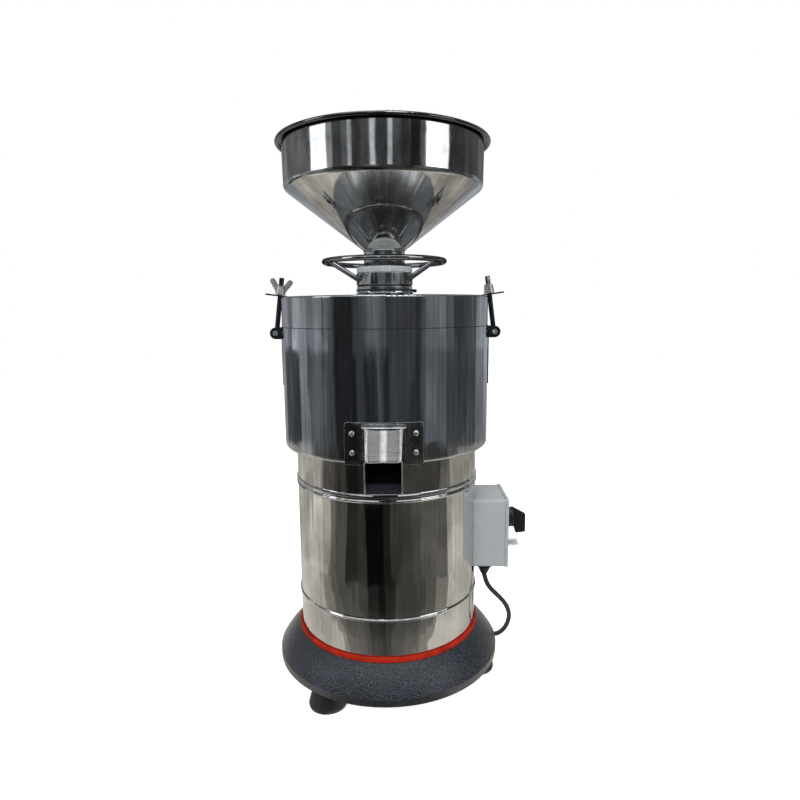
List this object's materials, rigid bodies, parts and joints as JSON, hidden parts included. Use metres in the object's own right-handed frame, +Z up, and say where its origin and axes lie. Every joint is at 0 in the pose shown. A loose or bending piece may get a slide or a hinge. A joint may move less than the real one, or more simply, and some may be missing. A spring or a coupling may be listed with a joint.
{
  "type": "nut grinder",
  "caption": "Upright electric nut grinder: hopper, adjusting handwheel, clamped grinding chamber with front chute, beaded motor housing, cast base on rubber feet, switch box and cord.",
  "frame": {"origin": "on the spindle axis at the floor that the rubber feet stand on", "axes": "+Z up along the spindle, -Y towards the discharge chute, +X towards the control box"},
  "size_m": [0.4212, 0.521, 0.8585],
  "materials": {
    "base_paint": "hammered gloss",
    "black_rubber": "matte",
    "red_silicone": "satin",
    "polished_steel": "polished",
    "brushed_steel": "brushed",
    "bright_steel": "machined",
    "dark_steel": "dark",
    "zinc_screws": "bright",
    "grinding_steel": "ground",
    "motor_aluminium": "cast",
    "motor_laminations": "rolled",
    "motor_copper": "varnished",
    "white_nylon": "translucent",
    "grey_plastic": "satin",
    "black_plastic": "satin",
    "clear_plastic": "clear",
    "cord_sheath": "satin"
  },
  "bodies": {
    "machine": {"base_casting": "base_paint", "rubber_feet": "black_rubber", "collar_seal": "black_rubber", "shaft_seal": "black_rubber", "lid_gasket": "black_rubber", "base_seal": "red_silicone", "motor_housing": "polished_steel", "chamber_body": "polished_steel", "lid": "polished_steel", "discharge_chute": "brushed_steel", "lid_lugs": "brushed_steel", "lid_collar": "brushed_steel", "bearing_outer_rings": "bright_steel", "guide_pins": "bright_steel", "clamp_brackets": "dark_steel", "foot_screws": "zinc_screws", "tie_rods": "zinc_screws", "motor_bolts": "zinc_screws", "chute_screws": "zinc_screws", "hinge_pins": "zinc_screws", "box_screws": "zinc_screws", "motor_flange": "motor_aluminium", "lower_end_shield": "motor_aluminium", "stator_core": "motor_laminations", "stator_windings": "motor_copper", "control_box": "grey_plastic", "box_lid": "grey_plastic", "index_ring": "black_plastic", "switch_plate": "black_plastic", "rotary_switch": "black_plastic", "reset_breaker": "black_plastic", "cable_gland": "black_plastic", "gland_nut": "black_plastic", "power_plug": "black_plastic", "button_cap": "clear_plastic", "power_cord": "cord_sheath", "cord_coil": "cord_sheath"},
    "spindle": {"motor_shaft": "bright_steel", "rotor_core": "motor_laminations", "cooling_fan": "black_plastic", "bearing_inner_rings": "bright_steel", "scraper_rotor": "bright_steel", "lower_grinding_disc": "grinding_steel", "disc_nut": "bright_steel"},
    "carrier": {"disc_carrier": "bright_steel", "upper_grinding_disc": "grinding_steel"},
    "handwheel": {"handwheel_hub": "brushed_steel", "retaining_ring": "bright_steel", "handwheel_rim": "polished_steel", "handwheel_spokes": "polished_steel"},
    "lock_ring": {"lock_ring": "white_nylon"},
    "hopper": {"hopper": "polished_steel"},
    "swing_bolt_right": {"swing_bolt_right": "dark_steel"},
    "washer_right": {"washer_right": "zinc_screws"},
    "wing_nut_right": {"wing_nut_right": "zinc_screws"},
    "swing_bolt_left": {"swing_bolt_left": "dark_steel"},
    "washer_left": {"washer_left": "zinc_screws"},
    "wing_nut_left": {"wing_nut_left": "zinc_screws"},
    "knob": {"switch_knob": "black_plastic"},
    "button": {"reset_button": "white_nylon"}
  },
  "joints": [
    {"name": "spindle_spin", "type": "hinge", "parent": "machine", "child": "spindle", "pos_m": [0, 0, 0.3], "axis": [0, 0, 1], "continuous": true},
    {"name": "handwheel_turn", "type": "hinge", "parent": "machine", "child": "handwheel", "pos_m": [0, 0, 0.654], "axis": [0, 0, 1], "range_deg": [-180, 180]},
    {"name": "disc_lift", "type": "slide", "parent": "machine", "child": "carrier", "axis": [0, 0, 1], "range_m": [-0.001, 0.001]},
    {"name": "lock_ring_turn", "type": "hinge", "parent": "handwheel", "child": "lock_ring", "pos_m": [0, 0, 0.668], "axis": [0, 0, 1], "range_deg": [0, 90]},
    {"name": "hopper_lift", "type": "slide", "parent": "carrier", "child": "hopper", "axis": [0, 0, 1], "range_m": [0, 0.08]},
    {"name": "swing_right", "type": "hinge", "parent": "machine", "child": "swing_bolt_right", "pos_m": [0.175, 0, 0.5704], "axis": [0, 1, 0], "range_deg": [0, 40]},
    {"name": "washer_lift_right", "type": "slide", "parent": "swing_bolt_right", "child": "washer_right", "axis": [-0.1305, 0, 0.9914], "range_m": [0, 0.012]},
    {"name": "wing_nut_right_turn", "type": "hinge", "parent": "washer_right", "child": "wing_nut_right", "pos_m": [0.16678, 0, 0.63286], "axis": [-0.1305, 0, 0.9914], "range_deg": [0, 3460]},
    {"name": "swing_left", "type": "hinge", "parent": "machine", "child": "swing_bolt_left", "pos_m": [-0.175, 0, 0.5704], "axis": [0, -1, 0], "range_deg": [0, 40]},
    {"name": "washer_lift_left", "type": "slide", "parent": "swing_bolt_left", "child": "washer_left", "axis": [0.1305, 0, 0.9914], "range_m": [0, 0.012]},
    {"name": "wing_nut_left_turn", "type": "hinge", "parent": "washer_left", "child": "wing_nut_left", "pos_m": [-0.16678, 0, 0.63286], "axis": [0.1305, 0, 0.9914], "range_deg": [0, 3460]},
    {"name": "knob_turn", "type": "hinge", "parent": "machine", "child": "knob", "pos_m": [0.21, 0, 0.2585], "axis": [1, 0, 0], "range_deg": [0, 90]},
    {"name": "button_press", "type": "slide", "parent": "machine", "child": "button", "axis": [-1, 0, 0], "range_m": [0, 0.003], "stiffness_N_per_m": 400}
  ],
  "couplings": [
    {"joint": "disc_lift", "follows": "handwheel_turn", "m_per_rad": 0.000318},
    {"joint": "wing_nut_right_turn", "follows": "washer_lift_right", "rad_per_m": 5026.5},
    {"joint": "swing_right", "follows": "washer_lift_right", "rad_per_m": 58.1},
    {"joint": "wing_nut_left_turn", "follows": "washer_lift_left", "rad_per_m": 5026.5},
    {"joint": "swing_left", "follows": "washer_lift_left", "rad_per_m": 58.1}
  ]
}
